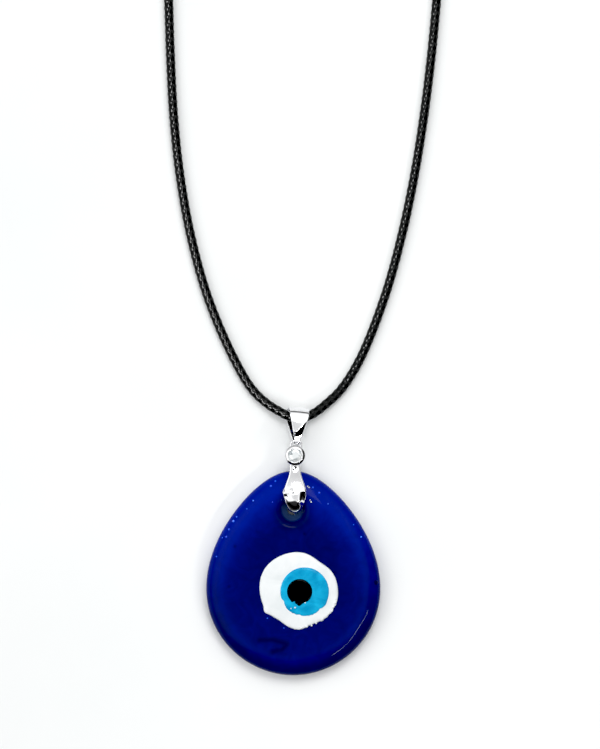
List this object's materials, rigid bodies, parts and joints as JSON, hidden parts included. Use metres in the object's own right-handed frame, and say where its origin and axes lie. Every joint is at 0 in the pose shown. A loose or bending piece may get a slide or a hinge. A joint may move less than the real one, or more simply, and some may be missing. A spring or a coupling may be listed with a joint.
{
  "type": "evil eye pendant necklace",
  "caption": "Cobalt glass teardrop pendant with a white, light blue and black eye, on a pinch bail with a crystal and a black waxed cord with clasp and extender chain.",
  "frame": {"origin": "on the flat back of the glass, at the middle of the drop's round end", "axes": "+Y from the drop's round end to the bail and the clasp, +Z out of the eye's face"},
  "size_m": [0.0708, 0.2486, 0.0083],
  "materials": {
    "cobalt_glass": "polished",
    "white_glass": "polished",
    "light_blue_glass": "polished",
    "black_glass": "polished",
    "silver_plate": "polished",
    "crystal": "faceted",
    "bright_steel": "polished",
    "waxed_cord": "waxed"
  },
  "bodies": {
    "cord": {"cord": "waxed_cord", "crimp_left": "bright_steel", "crimp_right": "bright_steel"},
    "bail_loop": {"bail_loop": "silver_plate"},
    "pinch_clip": {"pinch_clip": "silver_plate", "stone_cup": "silver_plate", "rhinestone": "crystal"},
    "pendant": {"glass_drop": "cobalt_glass", "eye_white": "white_glass", "eye_iris": "light_blue_glass", "eye_pupil": "black_glass"},
    "ring_left": {"ring_left": "bright_steel"},
    "chain_link_01": {"chain_link_01": "bright_steel"},
    "chain_link_02": {"chain_link_02": "bright_steel"},
    "chain_link_03": {"chain_link_03": "bright_steel"},
    "chain_link_04": {"chain_link_04": "bright_steel"},
    "chain_link_05": {"chain_link_05": "bright_steel"},
    "chain_link_06": {"chain_link_06": "bright_steel"},
    "chain_link_07": {"chain_link_07": "bright_steel"},
    "chain_link_08": {"chain_link_08": "bright_steel"},
    "chain_link_09": {"chain_link_09": "bright_steel"},
    "chain_link_10": {"chain_link_10": "bright_steel"},
    "chain_link_11": {"chain_link_11": "bright_steel"},
    "chain_link_12": {"chain_link_12": "bright_steel"},
    "chain_drop": {"chain_drop": "bright_steel"},
    "ring_right": {"ring_right": "bright_steel"},
    "clasp": {"clasp_body": "bright_steel", "clasp_pin": "bright_steel", "clasp_spring": "bright_steel"},
    "clasp_lever": {"clasp_lever": "bright_steel"}
  },
  "joints": [
    {"name": "loop_on_cord", "type": "hinge", "parent": "cord", "child": "bail_loop", "pos_m": [0.0011, 0.03775, 0.0027], "axis": [1, 0, 0], "range_deg": [-75, 75]},
    {"name": "clip_on_loop", "type": "hinge", "parent": "bail_loop", "child": "pinch_clip", "pos_m": [0.00085, 0.0326, 0.00375], "axis": [1, 0, 0], "range_deg": [-75, 75]},
    {"name": "pendant_on_clip", "type": "hinge", "parent": "pinch_clip", "child": "pendant", "pos_m": [-0.0002, 0.0171, 0.0029], "axis": [0, 0, 1], "range_deg": [-60, 60]},
    {"name": "ring_left_on_crimp", "type": "hinge", "parent": "cord", "child": "ring_left", "pos_m": [0.00205, 0.227, 0.00165], "axis": [0, -0.7071, 0.7071], "range_deg": [-25, 25]},
    {"name": "chain_link_01_turn", "type": "hinge", "parent": "ring_left", "child": "chain_link_01", "pos_m": [0.0047, 0.227, 0.00165], "axis": [0.0616, 0.7044, 0.7071], "range_deg": [-20, 20]},
    {"name": "chain_link_02_turn", "type": "hinge", "parent": "chain_link_01", "child": "chain_link_02", "pos_m": [0.00794, 0.22672, 0.00165], "axis": [-0.1228, -0.6964, 0.7071], "range_deg": [-20, 20]},
    {"name": "chain_link_03_turn", "type": "hinge", "parent": "chain_link_02", "child": "chain_link_03", "pos_m": [0.01114, 0.22615, 0.00165], "axis": [0.183, 0.683, 0.7071], "range_deg": [-20, 20]},
    {"name": "chain_link_04_turn", "type": "hinge", "parent": "chain_link_03", "child": "chain_link_04", "pos_m": [0.01428, 0.22531, 0.00165], "axis": [-0.2418, -0.6645, 0.7071], "range_deg": [-20, 20]},
    {"name": "chain_link_05_turn", "type": "hinge", "parent": "chain_link_04", "child": "chain_link_05", "pos_m": [0.01733, 0.2242, 0.00165], "axis": [0.2988, 0.6409, 0.7071], "range_deg": [-20, 20]},
    {"name": "chain_link_06_turn", "type": "hinge", "parent": "chain_link_05", "child": "chain_link_06", "pos_m": [0.02028, 0.22283, 0.00165], "axis": [-0.3536, -0.6124, 0.7071], "range_deg": [-20, 20]},
    {"name": "chain_link_07_turn", "type": "hinge", "parent": "chain_link_06", "child": "chain_link_07", "pos_m": [0.02309, 0.2212, 0.00165], "axis": [0.4056, 0.5792, 0.7071], "range_deg": [-20, 20]},
    {"name": "chain_link_08_turn", "type": "hinge", "parent": "chain_link_07", "child": "chain_link_08", "pos_m": [0.02575, 0.21934, 0.00165], "axis": [-0.4545, -0.5417, 0.7071], "range_deg": [-20, 20]},
    {"name": "chain_link_09_turn", "type": "hinge", "parent": "chain_link_08", "child": "chain_link_09", "pos_m": [0.02824, 0.21725, 0.00165], "axis": [0.5, 0.5, 0.7071], "range_deg": [-20, 20]},
    {"name": "chain_link_10_turn", "type": "hinge", "parent": "chain_link_09", "child": "chain_link_10", "pos_m": [0.03054, 0.21495, 0.00165], "axis": [-0.5417, -0.4545, 0.7071], "range_deg": [-20, 20]},
    {"name": "chain_link_11_turn", "type": "hinge", "parent": "chain_link_10", "child": "chain_link_11", "pos_m": [0.03263, 0.21246, 0.00165], "axis": [0.5792, 0.4056, 0.7071], "range_deg": [-20, 20]},
    {"name": "chain_link_12_turn", "type": "hinge", "parent": "chain_link_11", "child": "chain_link_12", "pos_m": [0.03449, 0.2098, 0.00165], "axis": [-0.6124, -0.3536, 0.7071], "range_deg": [-20, 20]},
    {"name": "chain_drop_turn", "type": "hinge", "parent": "chain_link_12", "child": "chain_drop", "pos_m": [0.03612, 0.20698, 0.00165], "axis": [0.6124, 0.3536, 0.7071], "range_deg": [-20, 20]},
    {"name": "ring_right_on_crimp", "type": "hinge", "parent": "cord", "child": "ring_right", "pos_m": [-0.00497, 0.20172, 0.00165], "axis": [-0.1238, 0.6962, 0.7071], "range_deg": [-25, 25]},
    {"name": "clasp_on_ring", "type": "hinge", "parent": "ring_right", "child": "clasp", "pos_m": [-0.00758, 0.20125, 0.00165], "axis": [0, 0, 1], "range_deg": [-25, 25]},
    {"name": "clasp_lever_turn", "type": "hinge", "parent": "clasp", "child": "clasp_lever", "pos_m": [-0.01149, 0.19924, 0.00165], "axis": [0, 0, 1], "range_deg": [-20, 0], "stiffness_Nm_per_rad": 0.0002}
  ]
}
